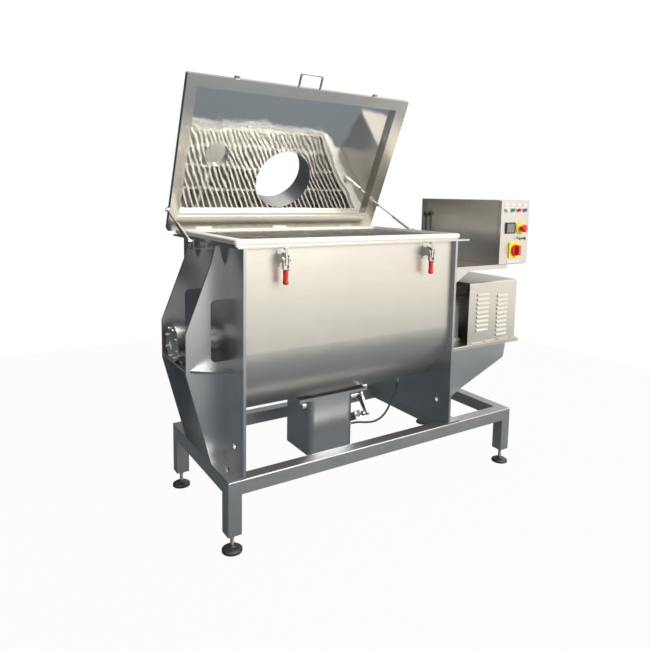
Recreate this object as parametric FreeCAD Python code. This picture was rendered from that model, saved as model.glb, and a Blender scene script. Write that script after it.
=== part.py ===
import FreeCAD, Part
import math, os

# Ribbon blender: a U trough with end plates on a tube frame, a double ribbon
# agitator, an air-driven discharge flap, a hinged lid on gas struts, a geared
# motor under a louvred cover and a control box.  All lengths in millimetres.
# x runs along the trough from the non-drive end, y from front to back, z up.
V = FreeCAD.Vector

# ---- base frame ----
frame_len, frame_w, frame_top = 1650.0, 688.0, 306.0
rail, leg_bottom, rail_round = 60.0, 76.0, 5.0
pad_r, pad_h, stem_r = 42.0, 14.0, 8.0
# ---- end plates and trough ----
plate_t, plate_x0, foot_t = 12.0, 66.0, 8.0
trough_len, trough_r, trough_wall = 1109.0, 318.0, 4.0
shaft_z, plate_top = 808.0, 1232.0
wash_hole_r, wash_y, wash_z = 12.0, 90.0, 410.0
rim_t, rim_out_front, rim_out_back, rim_out_left, rim_out_right = 8.0, 31.0, 104.0, 28.0, 77.0
lip_h, lip_in = 9.0, 8.0
seal_h, seal_out_left, seal_out_right, seal_out_back, ledge = 19.0, 38.0, 11.0, 42.0, 8.0
seal_round, grid_corner, grid_gap, grid_bars = 7.0, 6.0, 1.0, 34
# ---- shaft line ----
shaft_r, running_fit, seal_gap = 32.0, 0.05, 0.3
housing_r, housing_x0, housing_x1, cap_t = 80.0, -108.0, -4.0, 16.0
cap_bolts, cap_pcd, cap_bolt_r, cap_bolt_h = 8, 128.0, 7.0, 8.0
seal_ring_r, seal_ring_t = 55.0, 21.0
# ---- agitator ----
ribbon_gap, ribbon_w, ribbon_t = 10.0, 42.0, 8.0
inner_r_out, inner_w, ribbon_end_gap = 190.0, 38.0, 20.0
arm_r, arm_stations = 14.0, 5
# ---- gussets, shelf, tray ----
gusset_t, gusset_y = 10.0, 182.0
left_reach, shelf_t, notch_r = 168.0, 10.0, 22.0
tray_x1, tray_t, tray_y0, tray_lip = 1791.0, 5.0, 88.0, 14.0
# ---- drive ----
gear_x0, gear_x1, gear_half_w, gear_top = 1232.0, 1426.0, 150.0, 898.0
motor_r, motor_x1, fin_n, fin_h = 96.0, 1690.0, 24, 9.0
cover_x0, cover_x1, cover_y0, cover_top, cover_wall = 1405.0, 1778.0, 102.0, 996.0, 3.0
louvre_pitch, louvre_slot, louvre_out = 24.0, 8.0, 7.0
louvre_rows = (9, 10)
# ---- control box ----
box_x0, box_x1, box_y0, box_y1, box_z0, box_z1 = 1461.0, 1698.0, -12.0, 560.0, 1102.0, 1434.0
box_wall, door_t, door_gap, door_x1, door_wall = 3.0, 17.0, 0.8, 1660.0, 2.5
bracket_t, bracket_lip, bracket_x1, bracket_y0, bracket_y1 = 5.0, 18.0, 1560.0, 0.0, 440.0
# ---- control panel ----
button_z, button_r, button_bezel, button_travel, stem_gap = 1384.0, 9.0, 14.0, 4.0, 0.35
button_x = (1502.0, 1547.0, 1593.0, 1640.0)
estop_x, estop_z, estop_stem, estop_head, estop_plate = 1613.0, 1290.0, 9.0, 20.0, 34.0
key_x, key_z, key_r = 1621.0, 1238.0, 7.0
switch_x, switch_z, switch_stem, switch_plate, switch_knob = 1573.0, 1178.0, 8.0, 84.0, 29.0
meter_x0, meter_x1, meter_z0, meter_z1 = 1499.0, 1568.0, 1263.0, 1320.0
label_x0, label_x1, label_z0, label_z1, label_t = 1521.0, 1616.0, 1112.0, 1128.0, 1.2
# ---- discharge ----
out_x0, out_x1, out_half = 532.0, 733.0, 83.0
chute_x0, chute_x1, chute_front, chute_back, chute_z0 = 507.0, 758.0, 94.0, 126.0, 205.0
chute_wall, chute_round, chute_lip, flange_up, flange_t = 4.0, 34.0, 5.0, 6.0, 8.0
flange_x0, flange_x1, flange_half = 442.0, 822.0, 139.0
flap_front, flap_drop, flap_shaft_r, flap_gap, flap_open = 66.0, 47.0, 12.0, 2.2, 75.0
lever_x0, lever_t, lever_len, lever_angle = 826.0, 12.0, 101.4, 229.4
cyl_x, cyl_r, cyl_tail_back, cyl_tail_z, cyl_body = 808.0, 20.0, 56.0, 268.0, 150.0
# ---- lid ----
lid_out, lid_out_front, lid_out_back, lid_sheet, lid_lip = 21.0, 0.3, 51.7, 3.0, 14.0
lid_open, lid_clear, hinge_below = 65.1, 0.3, 8.0
border_l, border_r, border_f, border_h, panel_n = 48.0, 68.0, 53.0, 97.0, 30.0
collar_x, collar_v, collar_r, collar_n, collar_wall = 596.0, 274.0, 159.0, 160.0, 4.0
port_x, port_v, port_r, port_n, port_hole = 209.0, 392.0, 78.0, 51.0, 63.0
handle_x0, handle_x1, handle_out, handle_r = 559.0, 677.0, 64.0, 5.5
knuckle_r, pin_r, knuckle_w, pin_fit = 7.0, 3.5, 36.0, 0.1
# ---- latches ----
latch_in_left, latch_in_right = 160.0, 179.0
latch_out, latch_drop, latch_throw = 43.0, 44.0, 21.0
# ---- struts ----
strut_r, rod_r, strut_bore, strut_gap, strut_eye = 9.0, 4.0, 6.5, 3.0, 5.0
strut_from, strut_to, rod_from, strut_n = 12.0, 177.0, 150.0, 5.0
strut_v, strut_back, strut_up = (112.0, 148.0), (56.0, 51.0), (0.0, 26.0)
# ---- air line ----
hose_r, cable_r, fitting_x, fitting_front = 5.0, 4.5, 1050.0, 101.0

# ---- values that follow ----
mid_y = frame_w / 2
frame_in = rail
trough_x0 = plate_x0 + plate_t
trough_x1 = trough_x0 + trough_len
right_x0 = trough_x1
right_x1 = right_x0 + plate_t
outer_r = trough_r + trough_wall
trough_front, trough_back = mid_y - trough_r, mid_y + trough_r
rim_front, rim_back = trough_front - rim_out_front, trough_back + rim_out_back
rim_left, rim_right = plate_x0 - rim_out_left, right_x1 + rim_out_right
seal_left, seal_right = plate_x0 - seal_out_left, right_x1 + seal_out_right
seal_back = trough_back + seal_out_back
lip_z = plate_top + rim_t
ledge_z = lip_z + lip_h
seal_top = ledge_z + seal_h
shelf_z = shaft_z - housing_r
tray_z = shaft_z - 144.0 + 2.0
lid_z = seal_top + lid_clear
lid_x0, lid_x1 = seal_left - lid_out, seal_right + lid_out
lid_front, lid_back = rim_front - lid_out_front, seal_back + lid_out_back
lid_len = lid_back - lid_front
hinge_z = lid_z - hinge_below
hinge_y = lid_back - 8.5
door_y1 = box_y0 - door_gap
door_y0 = door_y1 - door_t
door_x0 = box_x0 + 2.0
door_z0, door_z1 = box_z0 + 3.0, box_z1 - 3.0
ribbon_r = trough_r - ribbon_gap
chute_y0, chute_y1 = mid_y - chute_front, mid_y + chute_back
flange_y0, flange_y1 = mid_y - flange_half, mid_y + flange_half
flange_z0 = shaft_z - outer_r + flange_up
flap_z = flange_z0 - flap_drop
flap_y, cyl_tail_y, fitting_y = mid_y - flap_front, mid_y + cyl_tail_back, mid_y - fitting_front
latch_x = (trough_x0 + latch_in_left, trough_x1 - latch_in_right)
latch_y, latch_z = mid_y - outer_r - latch_out, plate_top - latch_drop
strut_low = tuple((mid_y + b, plate_top + u) for b, u in zip(strut_back, strut_up))
gusset_ys = (gusset_y, frame_w - gusset_y - gusset_t)


def box(x0, x1, y0, y1, z0, z1):
    return Part.makeBox(x1 - x0, y1 - y0, z1 - z0, V(x0, y0, z0))


def cyl(p, axis, r, h):
    return Part.makeCylinder(r, h, V(*p), V(*axis))


def ring(p, axis, r_out, r_in, h):
    return cyl(p, axis, r_out, h).cut(cyl(p, axis, r_in, h))


def rounded(points, radii):
    """Closed wire through corner points, each corner rounded by its radius."""
    n = len(points)
    starts, ends, mids = [], [], []
    for i in range(round(n)):
        p, a, b = V(*points[i]), V(*points[i - 1]), V(*points[(i + 1) % n])
        r = radii[i] if isinstance(radii, (list, tuple)) else radii
        u, w = (a - p).normalize(), (b - p).normalize()
        if r <= 0:
            starts.append(p), ends.append(p), mids.append(None)
            continue
        half = u.getAngle(w) / 2
        cut = r / math.tan(half)
        axis = (u + w).normalize()
        centre = p + axis * (r / math.sin(half))
        starts.append(p + u * cut), ends.append(p + w * cut)
        mids.append(centre - axis * r)
    edges = []
    for i in range(round(n)):
        if mids[i] is not None:
            edges.append(Part.Arc(starts[i], mids[i], ends[i]).toShape())
        j = (i + 1) % n
        if (ends[i] - starts[j]).Length > 1e-6:
            edges.append(Part.LineSegment(ends[i], starts[j]).toShape())
    return Part.Wire(edges)


def prism(points, radii, along):
    """Solid from a rounded outline pushed along a vector."""
    return Part.Face(rounded(points, radii)).extrude(V(*along))


def slab_xz(outline, y0, y1, radii=0):
    return prism([(x, y0, z) for x, z in outline], radii, (0, y1 - y0, 0))


def slab_yz(outline, x0, x1, radii=0):
    return prism([(x0, y, z) for y, z in outline], radii, (x1 - x0, 0, 0))


def slab_xy(outline, z0, z1, radii=0):
    return prism([(x, y, z0) for x, y in outline], radii, (0, 0, z1 - z0))


def rect(a0, a1, b0, b1):
    return [(a0, b0), (a1, b0), (a1, b1), (a0, b1)]


def revolve_x(profile, y, z):
    """Solid turned about the line parallel to x through (y, z)."""
    pts = [V(x, y, z + r) for x, r in profile]
    face = Part.Face(Part.makePolygon(pts + [pts[0]]))
    return face.revolve(V(0, y, z), V(1, 0, 0), 360)


def hexagon(p, axis, across, h):
    """Hexagon head standing on p along axis."""
    a = V(*axis).normalize()
    side = a.cross(V(0.3, 0.5, 0.8)).normalize()
    other = a.cross(side)
    r = across / math.sqrt(3)
    pts = [V(*p) + side * (r * math.cos(math.radians(60 * i))) +
           other * (r * math.sin(math.radians(60 * i))) for i in range(6)]
    return Part.Face(Part.makePolygon(pts + [pts[0]])).extrude(a * h)


def route(points):
    """Straight runs joined by tangent arcs; returns the wire and its radii."""
    pts = [V(*p) for p in points]
    edges, radii, last = [], [], pts[0]
    for i in range(1, len(pts) - 1):
        a, p, b = pts[i - 1], pts[i], pts[i + 1]
        u, w = (a - p), (b - p)
        shorter = min(u.Length, w.Length)
        u.normalize(), w.normalize()
        half_turn = (math.pi - u.getAngle(w)) / 2
        cut = 0.45 * shorter
        r = cut / math.tan(half_turn)
        axis = (u + w).normalize()
        centre = p + axis * math.hypot(r, cut)
        s, e = p + u * cut, p + w * cut
        edges.append(Part.LineSegment(last, s).toShape())
        edges.append(Part.Arc(s, centre - axis * r, e).toShape())
        radii.append(round(r, 1))
        last = e
    edges.append(Part.LineSegment(last, pts[-1]).toShape())
    return Part.Wire(edges), radii


def tube(points, r):
    """Round bar or cord along a route."""
    path, radii = route(points)
    start, nxt = V(*points[0]), V(*points[1])
    circle = Part.Wire(Part.makeCircle(r, start, nxt - start))
    return path.makePipeShell([circle], True, False), path.Length, radii


def mirror_y(shape):
    return shape.mirror(V(0, mid_y, 0), V(0, 1, 0))


def group(solids):
    return Part.makeCompound(solids)


def fillet(shape, r, test):
    """Round the edges that pass the test on their mid point and direction."""
    chosen = []
    for e in shape.Edges:
        m = e.valueAt((e.FirstParameter + e.LastParameter) / 2)
        d = (e.valueAt(e.LastParameter) - e.valueAt(e.FirstParameter))
        if d.Length > 1e-6 and test(m, d.normalize(), e):
            chosen.append(e)
    return shape.makeFillet(r, chosen)


# ------------------------------------------------------------ base frame
def base_frame():
    """Mitred square-tube rectangle on four short legs, one cross rail."""
    z0 = frame_top - rail
    ring_ = box(0, frame_len, 0, frame_w, z0, frame_top).cut(
        box(rail, frame_len - rail, rail, frame_w - rail, z0 - 1, frame_top + 1))
    s = ring_.fuse(box(right_x1 + 6, right_x1 + 6 + rail, rail - 1, frame_w - rail + 1,
                       z0, frame_top))
    for x in (0, frame_len - rail):
        for y in (0, frame_w - rail):
            s = s.fuse(box(x, x + rail, y, y + rail, leg_bottom, z0 + 1))
    s = s.removeSplitter()

    def outer(m, d, e):
        edge_x = min(m.x, frame_len - m.x) < 0.01
        edge_y = min(m.y, frame_w - m.y) < 0.01
        corner = abs(d.z) > 0.9 and edge_x and edge_y
        top = abs(m.z - frame_top) < 0.01 and (edge_x or edge_y)
        return corner or top
    return fillet(s, rail_round, outer)


def levelling_feet():
    """Round pads on threaded stems under the four legs."""
    out = []
    for x in (rail / 2, frame_len - rail / 2):
        for y in (rail / 2, frame_w - rail / 2):
            prof = [(0, 0), (0, pad_r), (pad_h * 0.6, pad_r), (pad_h, pad_r - 8),
                    (pad_h + 8, stem_r + 8), (pad_h + 12, stem_r + 4),
                    (pad_h + 12, stem_r), (leg_bottom, stem_r), (leg_bottom, 0)]
            pts = [V(r, 0, z) for z, r in prof]
            face = Part.Face(Part.makePolygon(pts + [pts[0]]))
            foot = face.revolve(V(0, 0, 0), V(0, 0, 1), 360)
            nut = hexagon((0, 0, leg_bottom - 10), (0, 0, 1), 30, 10)
            foot = foot.fuse(nut)
            foot.translate(V(x, y, 0))
            out.append(foot)
    return group(out)


# ------------------------------------------------------------ end plates
def end_plate(x0, side):
    """Upright plate with its foot plate; side is -1 left, +1 right."""
    outline = rect(0, frame_w, frame_top, plate_top)
    s = slab_yz(outline, x0, x0 + plate_t)
    if side < 0:
        s = s.fuse(box(0, x0 + 1, 0, frame_w, frame_top, frame_top + foot_t))
    else:
        s = s.fuse(box(x0 + plate_t - 1, x0 + plate_t + 6 + rail, 0, frame_w,
                       frame_top, frame_top + foot_t))
    s = s.cut(cyl((x0 - 1, mid_y, shaft_z), (1, 0, 0), shaft_r + 3, plate_t + 2))
    for y in (wash_y, frame_w - wash_y):
        s = s.cut(cyl((x0 - 1, y, wash_z), (1, 0, 0), wash_hole_r, plate_t + 2))
    return s.removeSplitter()


def foot_bolt_places():
    """Bolt places on the two foot plates."""
    places = []
    for x in (rail / 2 + 6, right_x1 + 6 + rail / 2):
        for y in (100.0, frame_w - 100.0):
            places.append((x, y, frame_top + foot_t))
    return places


def hex_bolts():
    """Hexagon bolts with washers on the foot plates and the chute flange."""
    out = []
    for p in foot_bolt_places():
        out.append(cyl(p, (0, 0, 1), 13, 2.5).fuse(
            hexagon((p[0], p[1], p[2] + 2.5), (0, 0, 1), 19, 9)))
    for x, y in flange_bolt_places():
        z = flange_z0 - chute_lip
        out.append(cyl((x, y, z - 2), (0, 0, 1), 10, 2).fuse(
            hexagon((x, y, z - 2 - 7), (0, 0, 1), 15, 7)))
    return group(out)


# ------------------------------------------------------------ trough
def trough_outline(r):
    """Half round below the shaft line with straight walls above it."""
    a = V(trough_x0, mid_y - r, plate_top)
    b = V(trough_x0, mid_y - r, shaft_z)
    c = V(trough_x0, mid_y, shaft_z - r)
    d = V(trough_x0, mid_y + r, shaft_z)
    e = V(trough_x0, mid_y + r, plate_top)
    return Part.Wire([Part.LineSegment(a, b).toShape(), Part.Arc(b, c, d).toShape(),
                      Part.LineSegment(d, e).toShape(), Part.LineSegment(e, a).toShape()])


def trough_solid(r):
    return Part.Face(trough_outline(r)).extrude(V(trough_len, 0, 0))


def trough_shell():
    s = trough_solid(outer_r).cut(trough_solid(trough_r))
    return s.cut(box(out_x0, out_x1, mid_y - out_half, mid_y + out_half,
                     shaft_z - outer_r - 5, shaft_z))


def trough_rim():
    """Folded flange round the mouth with the raised lip under the seal."""
    s = box(rim_left, rim_right, rim_front, rim_back, plate_top, lip_z)
    s = fillet(s, 6.0, lambda m, d, e: abs(d.z) > 0.9)
    lip = box(seal_left + lip_in, seal_right - lip_in, rim_front + lip_in,
              seal_back - lip_in, lip_z - 1, ledge_z)
    s = s.fuse(lip)
    return s.cut(box(trough_x0, trough_x1, mid_y - trough_r, mid_y + trough_r,
                     plate_top - 1, ledge_z + 1)).removeSplitter()


def seal_opening():
    return (trough_x0 - ledge, trough_x1 + ledge, mid_y - trough_r - ledge,
            mid_y + trough_r + ledge)


def rim_seal():
    """Fat moulded seal that the lid closes on, rounded on all its edges."""
    s = box(seal_left, seal_right, rim_front, seal_back, ledge_z, seal_top)
    s = fillet(s, 12.0, lambda m, d, e: abs(d.z) > 0.9)
    s = fillet(s, seal_round, lambda m, d, e: m.z > seal_top - 0.01)
    x0, x1, y0, y1 = seal_opening()
    return s.cut(slab_xy(rect(x0, x1, y0, y1), ledge_z - 1, seal_top + 1, grid_corner))


def safety_grid():
    """Bar grid that lies on the ledge inside the seal."""
    x0, x1, y0, y1 = seal_opening()
    g = grid_gap
    x0, x1, y0, y1 = x0 + g, x1 - g, y0 + g, y1 - g
    frame_bar, bar_t, drop = 22.0, 6.0, 10.0
    z0 = ledge_z + 0.3
    s = slab_xy(rect(x0, x1, y0, y1), z0, z0 + bar_t, grid_corner).cut(
        box(x0 + frame_bar, x1 - frame_bar, y0 + frame_bar, y1 - frame_bar, z0 - 1, z0 + 9))
    n = grid_bars
    pitch = (x1 - x0 - 2 * frame_bar) / (n + 1)
    for i in range(round(n)):
        x = x0 + frame_bar + pitch * (i + 1)
        s = s.fuse(box(x - 3.5, x + 3.5, y0 + frame_bar - 5, y1 - frame_bar + 5,
                       z0 - drop + bar_t, z0 + bar_t - 1))
    for k in (1, 2, 3):
        y = y0 + (y1 - y0) * k / 4
        s = s.fuse(box(x0 + frame_bar - 5, x1 - frame_bar + 5, y - 4, y + 4,
                       z0 - drop + bar_t - 5, z0 - drop + bar_t + 2))
    return s


# ------------------------------------------------------------ gussets and shelf
def left_gussets():
    """Pair of tapered bearing brackets with a notch round the shaft line."""
    x = plate_x0
    outer = [(x - 64, frame_top + foot_t), (x - left_reach, shaft_z - 99),
             (x - left_reach, shaft_z + 70), (x - 99, plate_top - 178), (x - 56, plate_top - 67),
             (x - 41, plate_top - 2), (x - 24, plate_top - 2), (x - 10, plate_top - 61),
             (x, plate_top - 82), (x, frame_top + foot_t)]
    radii = [0, 18, 18, 40, 0, 0, 0, 20, 0, 0]
    out = []
    for y in gusset_ys:
        s = slab_xz(outer, y, y + gusset_t, radii)
        notch = slab_xz([(x - 63, shaft_z - 60), (x + 20, shaft_z - 60), (x + 20, shaft_z + 200),
                         (x - 63, shaft_z + 200)], y - 1, y + gusset_t + 1, [notch_r, 0, 0, notch_r])
        out.append(s.cut(notch))
    return group(out)


def bearing_shelf():
    """Shelf between the brackets under the bearing, with two outer corner plates."""
    z1, z0 = shelf_z, shelf_z - shelf_t
    a, b = gusset_ys
    x0 = plate_x0 - left_reach
    shelf = box(x0, plate_x0, a + gusset_t, b, z0, z1)
    corner = slab_xy([(x0 + 16, a), (plate_x0, a), (plate_x0, a - 120), (plate_x0 - 14, a - 120)],
                     z0, z1)
    return group([shelf, corner, mirror_y(corner)])


def right_gussets():
    """Pair of brackets that carry the motor tray, cut back in a long slope."""
    x, top = right_x1, tray_z - tray_t
    outline = [(x, top), (tray_x1 + 6, top), (tray_x1 + 8, top - 37), (tray_x1 + 5, top - 70),
               (tray_x1 - 5, top - 131), (x + 260, frame_top + 92), (x + 181, frame_top + 55),
               (x + 12, frame_top + foot_t), (x, frame_top + foot_t)]
    radii = [0, 0, 4, 20, 24, 60, 60, 0, 0]
    return group([slab_xz(outline, y, y + gusset_t, radii) for y in gusset_ys])


def motor_tray():
    """Flat tray with edges turned down, under the gearbox and motor."""
    y0, y1 = tray_y0, frame_w - tray_y0
    s = box(right_x1, tray_x1, y0, y1, tray_z - 20, tray_z)
    s = fillet(s, 4.0, lambda m, d, e: m.z > tray_z - 0.01 and m.x > right_x1 + 1)
    inner = box(right_x1 - 1, tray_x1 - tray_t, y0 + tray_t, y1 - tray_t,
                tray_z - 21, tray_z - tray_t)
    s = s.cut(inner)
    for y in gusset_ys:
        s = s.cut(box(tray_x1 - tray_t - 1, tray_x1 + 1, y - 0.3, y + gusset_t + 0.3,
                      tray_z - 21, tray_z - tray_t))
    return s


# ------------------------------------------------------------ shaft line
def bearing_housing():
    """Turned housing on the shelf, with its flanged cap and cap bolts."""
    x0, x1 = housing_x0, housing_x1
    bore = shaft_r + running_fit
    prof = [(x0 + cap_t, 0), (x0 + cap_t, housing_r), (x0 + cap_t + 30, housing_r),
            (x0 + cap_t + 36, housing_r - 8), (x1 - 22, housing_r - 8), (x1 - 14, housing_r - 20),
            (x1, housing_r - 24), (x1, 0)]
    s = revolve_x(prof, mid_y, shaft_z)
    foot = box(x0 + cap_t, x1 - 22, mid_y - 90, mid_y + 90, shelf_z + 0.0, shelf_z + 18)
    foot = foot.fuse(box(x0 + cap_t, x1 - 22, mid_y - 58, mid_y + 58, shelf_z, shelf_z + 50))
    s = s.fuse(foot)
    s = s.cut(cyl((x0 + cap_t + 12, mid_y, shaft_z), (1, 0, 0), bore, x1 - x0))
    return s.removeSplitter()


def bearing_cap():
    """Flanged end cap with a ring of bolts."""
    x0 = housing_x0
    prof = [(x0, 0), (x0, housing_r - 4), (x0 + 4, housing_r), (x0 + cap_t, housing_r),
            (x0 + cap_t, 0)]
    s = revolve_x(prof, mid_y, shaft_z)
    s = s.cut(cyl((x0 - 1, mid_y, shaft_z), (1, 0, 0), 34, 4))
    parts = [s]
    for i in range(cap_bolts):
        a = math.radians(360 / cap_bolts * (i + 0.5))
        p = (x0 - cap_bolt_h, mid_y + cap_pcd / 2 * math.cos(a),
             shaft_z + cap_pcd / 2 * math.sin(a))
        bolt = cyl(p, (1, 0, 0), cap_bolt_r, cap_bolt_h)
        socket = hexagon((p[0] - 1, p[1], p[2]), (1, 0, 0), cap_bolt_r, 5)
        parts.append(bolt.cut(socket))
    return group(parts)


def shaft_seals():
    """Flanged seal housings on the outer faces of the end plates."""
    out = []
    bore = shaft_r + seal_gap
    for x, s in ((plate_x0, -1), (right_x1, 1)):
        prof = [(x, bore), (x, seal_ring_r), (x + s * 8, seal_ring_r),
                (x + s * 8, seal_ring_r - 8), (x + s * seal_ring_t, seal_ring_r - 8),
                (x + s * seal_ring_t, bore)]
        out.append(revolve_x(prof, mid_y, shaft_z))
    return group(out)


def gearbox():
    """Helical gearbox: ribbed housing with feet, output flange and oil plugs."""
    x0, x1, w = gear_x0, gear_x1, gear_half_w
    out = [(mid_y - w, tray_z), (mid_y + w, tray_z), (mid_y + w, gear_top), (mid_y - w, gear_top)]
    s = slab_yz(out, x0 + 18, x1, [14, 14, 60, 60])
    s = s.fuse(slab_yz([(mid_y - w - 18, tray_z), (mid_y + w + 18, tray_z),
                        (mid_y + w + 18, tray_z + 22), (mid_y - w - 18, tray_z + 22)],
                       x0 + 24, x1 - 6, [4, 4, 8, 8]))
    s = s.fuse(cyl((x0, mid_y, shaft_z), (1, 0, 0), 70, 20))
    for k in range(3):
        x = x0 + 48 + 44 * k
        rib = slab_yz([(mid_y - w - 9, tray_z + 10), (mid_y + w + 9, tray_z + 10),
                       (mid_y + w + 9, gear_top + 9), (mid_y - w - 9, gear_top + 9)],
                      x, x + 10, [4, 4, 64, 64])
        s = s.fuse(rib)
    s = s.fuse(cyl((x0 + 76, mid_y - 60, gear_top - 2), (0, 0, 1), 11, 14))
    s = s.cut(cyl((x0 - 1, mid_y, shaft_z), (1, 0, 0), shaft_r + running_fit,
                  x1 - x0 - 58))
    return s.removeSplitter()


def drive_motor():
    """Foot-free flange motor: flange, finned frame, terminal box and fan cowl."""
    x0, x1, r = gear_x1, motor_x1, motor_r
    prof = [(x0, 0), (x0, r + 22), (x0 + 16, r + 22), (x0 + 16, r), (x1 - 64, r),
            (x1 - 64, r + fin_h + 3), (x1 - 10, r + fin_h + 3), (x1, r - 6), (x1, 0)]
    s = revolve_x(prof, mid_y, shaft_z)
    for i in range(fin_n):
        fin = box(x0 + 24, x1 - 66, mid_y - 2, mid_y + 2, shaft_z + r - 2, shaft_z + r + fin_h)
        fin.rotate(V(0, mid_y, shaft_z), V(1, 0, 0), 360 / fin_n * (i + 0.5))
        s = s.fuse(fin)
    s = s.fuse(box(x0 + 60, x0 + 160, mid_y - 50, mid_y + 50, shaft_z + r - 6, shaft_z + r + 48))
    return s


# ------------------------------------------------------------ motor cover
def louvre_columns():
    """Louvre columns: x range, lowest slot and count."""
    return ((cover_x0 + 58, cover_x0 + 146, tray_z + 64, louvre_rows[0]),
            (cover_x0 + 214, cover_x0 + 295, tray_z + 25, louvre_rows[1]))


def motor_cover():
    """Sheet hood, open at the gearbox end and below, with pressed louvres."""
    x0, x1, y0, y1 = cover_x0, cover_x1, cover_y0, frame_w - cover_y0
    t, z0, z1 = cover_wall, tray_z, cover_top
    s = box(x0, x1, y0, y1, z0, z1)
    s = fillet(s, 8.0, lambda m, d, e: (m.z > z1 - 0.01 and m.x > x0 + 1) or
               (abs(d.z) > 0.9 and m.x > x1 - 0.01))
    s = s.cut(box(x0 - 1, x1 - t, y0 + t, y1 - t, z0 - 1, z1 - t))
    for a, b in ((y0 - tray_lip, y0 + 1), (y1 - 1, y1 + tray_lip)):
        s = s.fuse(box(x0, x1 - 12, a, b, z0, z0 + t))
    for lx0, lx1, lz, n in louvre_columns():
        for i in range(round(n)):
            z = lz + louvre_pitch * i
            for wall, sign in ((y0, -1), (y1, 1)):
                hood = [(wall, z + louvre_slot + 6), (wall + sign * louvre_out, z + 3),
                        (wall + sign * louvre_out, z), (wall, z)]
                lip = slab_yz(hood, lx0, lx1)
                hollow = [(wall - sign * (t + 1), z + louvre_slot),
                          (wall, z + louvre_slot),
                          (wall + sign * (louvre_out - 1.6), z + 1.6),
                          (wall + sign * (louvre_out - 1.6), z - 1),
                          (wall - sign * (t + 1), z - 1)]
                s = s.fuse(lip).cut(slab_yz(hollow, lx0 + 2, lx1 - 2))
    return s


def cover_screws():
    """Button-head screws along the cover flanges."""
    out = []
    for y in (cover_y0 - tray_lip / 2, frame_w - cover_y0 + tray_lip / 2):
        for k in range(4):
            x = cover_x0 + 20 + (cover_x1 - cover_x0 - 60) * k / 3
            out.append(cyl((x, y, tray_z + cover_wall), (0, 0, 1), 4.5, 3.5))
    return group(out)


# ------------------------------------------------------------ control box
def box_bracket():
    """Folded shelf from the end plate that carries the control box."""
    z1, z0 = box_z0, box_z0 - bracket_t
    x0, x1 = right_x1, bracket_x1
    shelf = box(x0, x1, bracket_y0, bracket_y1, z0, z1)
    front = box(x0, x1, bracket_y0, bracket_y0 + bracket_t, z0 - bracket_lip, z0 + 1)
    back = box(x0, x1, bracket_y1 - bracket_t, bracket_y1, z0 - bracket_lip, z0 + 1)
    s = shelf.fuse(front).fuse(back)
    for y in (bracket_y0, bracket_y1 - bracket_t):
        s = s.fuse(slab_xz([(x0, z0 - 70), (x0, z0), (x0 + 90, z0), (x0 + 90, z0 - 16)],
                           y, y + bracket_t))
    return s.removeSplitter()


def control_box():
    """Sheet steel enclosure, open at the front where the door closes it."""
    s = box(box_x0, box_x1, box_y0, box_y1, box_z0, box_z1)
    s = fillet(s, 5.0, lambda m, d, e: abs(d.y) > 0.9)
    w = box_wall
    s = s.cut(box(box_x0 + w, box_x1 - w, box_y0 - 1, box_y1 - w, box_z0 + w, box_z1 - w))
    strip = box(door_x1 + 2, box_x1 - 1, box_y0, box_y0 + 3, box_z0 + 1, box_z1 - 1)
    lip = box(box_x0 + 1, box_x1 - 1, box_y0, box_y0 + 3, box_z0 + 1, box_z1 - 1).cut(
        box(box_x0 + 14, door_x1 - 12, box_y0 - 1, box_y0 + 4, box_z0 + 14, box_z1 - 14))
    s = s.fuse(lip).fuse(strip)
    g = gland_place()
    return s.cut(cyl((g[0] + 4, g[1], g[2]), (1, 0, 0), 8.0, 3)).removeSplitter()


def gland_place():
    """Middle of the gland on the back left side of the box."""
    return (box_x0 - 4.0, box_y1 - 60.0, box_z1 - 86.0)


def cable_gland():
    """Round gland whose outlet points down."""
    x, y, z = gland_place()
    s = Part.makeSphere(16.0, V(x - 15, y, z))
    s = s.fuse(cyl((x - 15, y, z), (1, 0, 0), 11, 19))
    s = s.fuse(cyl((x - 15, y, z - 20), (0, 0, 1), 9, 20))
    s = s.cut(box(x + 4, x + 30, y - 30, y + 30, z - 30, z + 30))
    return s



def cable_points():
    """Cable route: down from the gland, then in to the end plate."""
    x, y, z = gland_place()
    x -= 15
    z -= 20
    return [(x, y, z), (x, y, z - 80), (x - 6, y, z - 168), (x - 38, y, z - 236),
            (x - 102, y, z - 268), (right_x1 + 69, y, z - 272), (right_x1, y, z - 272)]


def control_door():
    """Shallow door pan with returned edges that closes the control box."""
    x0, x1, z0, z1 = door_x0, door_x1, door_z0, door_z1
    s = box(x0, x1, door_y0, door_y1, z0, z1)
    s = fillet(s, 3.0, lambda m, d, e: m.y < door_y0 + 0.01)
    w = door_wall
    s = s.cut(box(x0 + w, x1 - w, door_y0 + w, door_y1 + 1, z0 + w, z1 - w))
    for p, r, _ in button_places():
        s = s.cut(cyl((p[0], door_y0 - 1, p[1]), (0, 1, 0), r, 5))
    s = s.cut(cyl((estop_x, door_y0 - 1, estop_z), (0, 1, 0), estop_stem + stem_gap, 5))
    s = s.cut(cyl((key_x, door_y0 - 1, key_z), (0, 1, 0), key_r + stem_gap, 5))
    s = s.cut(cyl((switch_x, door_y0 - 1, switch_z), (0, 1, 0), switch_stem + stem_gap, 5))
    for z in (z0 + 60, z1 - 60):
        s = s.fuse(cyl((x1 - 3, door_y0 + w + 3, z - 14), (0, 0, 1), 3.0, 28))
    return s




def button_places():
    return [((x, button_z), button_r + stem_gap, i) for i, x in enumerate(button_x)]


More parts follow.
